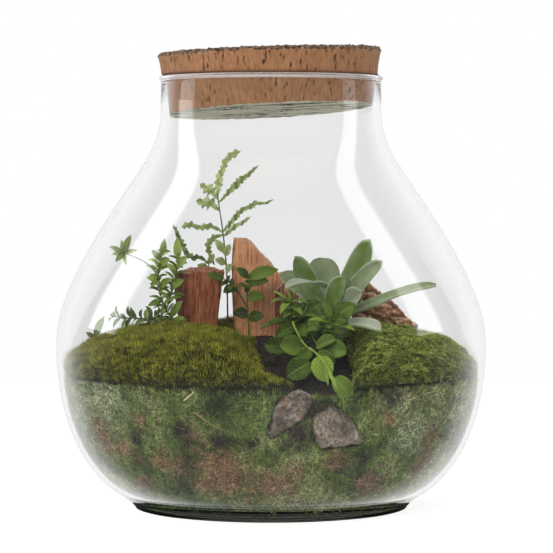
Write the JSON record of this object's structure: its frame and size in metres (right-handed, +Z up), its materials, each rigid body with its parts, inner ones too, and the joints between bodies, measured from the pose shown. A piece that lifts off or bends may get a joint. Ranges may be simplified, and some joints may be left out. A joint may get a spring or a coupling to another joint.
{
  "type": "glass plant terrarium",
  "caption": "Pear-shaped clear glass jar closed by a natural cork, planted with moss, bark, stones, a fern, a succulent and a creeper.",
  "frame": {"origin": "centre of the jar's foot, on the surface that it stands on", "axes": "+Z up along the jar's axis, +X to the viewer's right, -Y towards the viewer"},
  "size_m": [0.2684, 0.2684, 0.2878],
  "materials": {
    "clear_glass": "polished",
    "natural_cork": "matte",
    "moss": "matte",
    "pressed_moss": "matte",
    "soil": "matte",
    "gravel": "matte",
    "fibrous_bark": "matte",
    "field_stone": "matte",
    "fern_green": "satin",
    "leaf_green": "satin",
    "creeper_green": "satin",
    "grey_green": "satin"
  },
  "bodies": {
    "root": {"glass_jar": "clear_glass", "cork_stopper": "natural_cork", "drainage_gravel": "gravel", "potting_soil": "soil", "moss_lining": "pressed_moss", "moss_mound_left": "moss", "moss_mound_right": "moss", "bark_left": "fibrous_bark", "bark_back": "fibrous_bark", "bark_right": "fibrous_bark", "bark_shard": "fibrous_bark", "stone_left": "field_stone", "stone_right": "field_stone", "fern_frond_tall": "fern_green", "fern_frond_low": "fern_green", "leafy_stem_left": "leaf_green", "floor_sprig": "fern_green", "small_leaf_left": "leaf_green", "succulent": "grey_green", "creeper_whorl": "creeper_green", "creeper_cluster": "creeper_green", "creeper_front": "creeper_green", "creeper_back": "creeper_green"}
  },
  "joints": []
}
